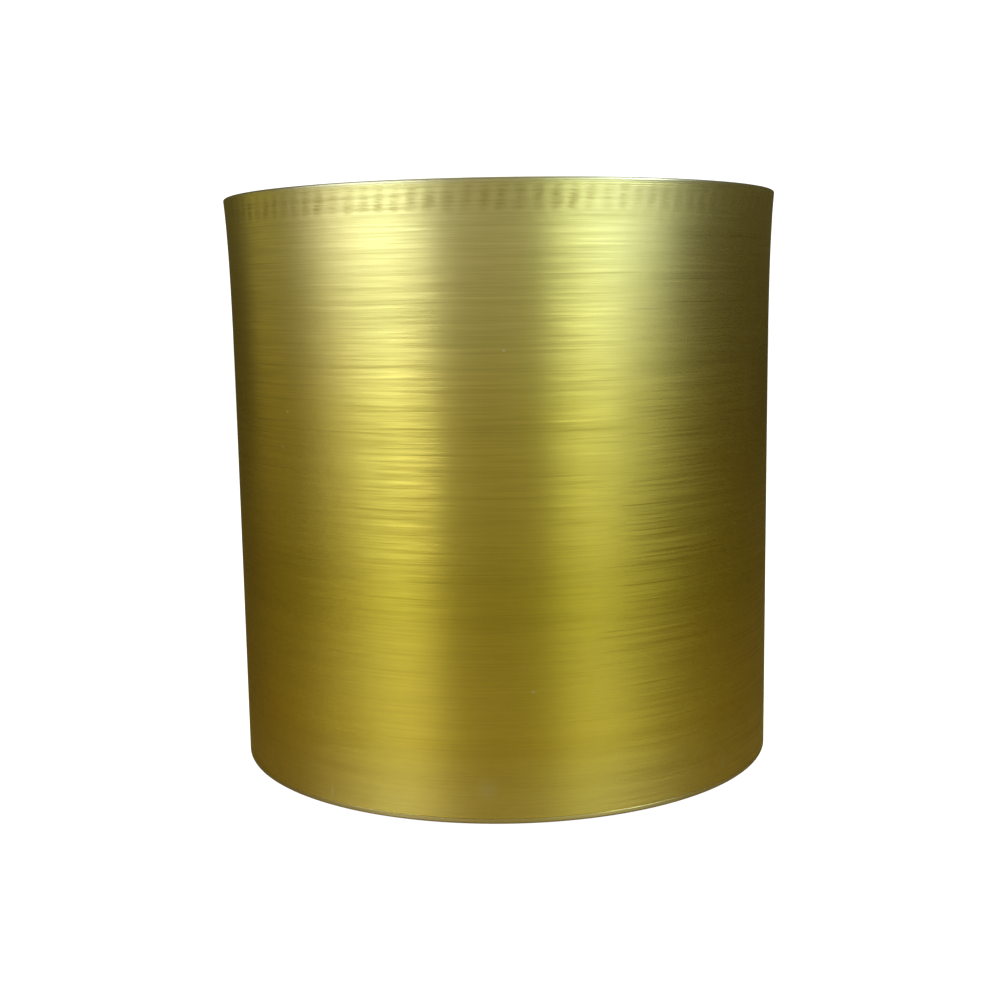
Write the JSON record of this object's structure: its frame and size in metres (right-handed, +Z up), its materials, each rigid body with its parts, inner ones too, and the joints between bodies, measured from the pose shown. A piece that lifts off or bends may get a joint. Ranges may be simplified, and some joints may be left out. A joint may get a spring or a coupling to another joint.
{
  "type": "planter pot",
  "caption": "Straight-sided brass planter pot with a slightly flared mouth, felt feet and a lift-out plastic liner that holds soil or a potted plant.",
  "frame": {"origin": "on the pot's axis, at the level of the surface that it stands on", "axes": "+Z up along the pot's axis; the grip tabs of the liner lie along X"},
  "size_m": [0.2, 0.2, 0.2052],
  "materials": {
    "wall_brass": "fine circumferential brushing, unlacquered, mottled lathe chatter under the rim",
    "plate_brass": "brushed, slightly darker than the wall",
    "solder": "dull run solder",
    "felt": "dense brown felt",
    "liner_plastic": "fine moulded texture"
  },
  "bodies": {
    "pot": {"pot_wall": "wall_brass", "base_plate": "plate_brass", "solder_fillet": "solder", "foot_pad_1": "felt", "foot_pad_2": "felt", "foot_pad_3": "felt", "foot_pad_4": "felt"},
    "liner": {"liner": "liner_plastic"}
  },
  "joints": [
    {"name": "liner_lift", "type": "slide", "parent": "pot", "child": "liner", "axis": [0, 0, 1], "range_m": [0, 0.21]}
  ]
}
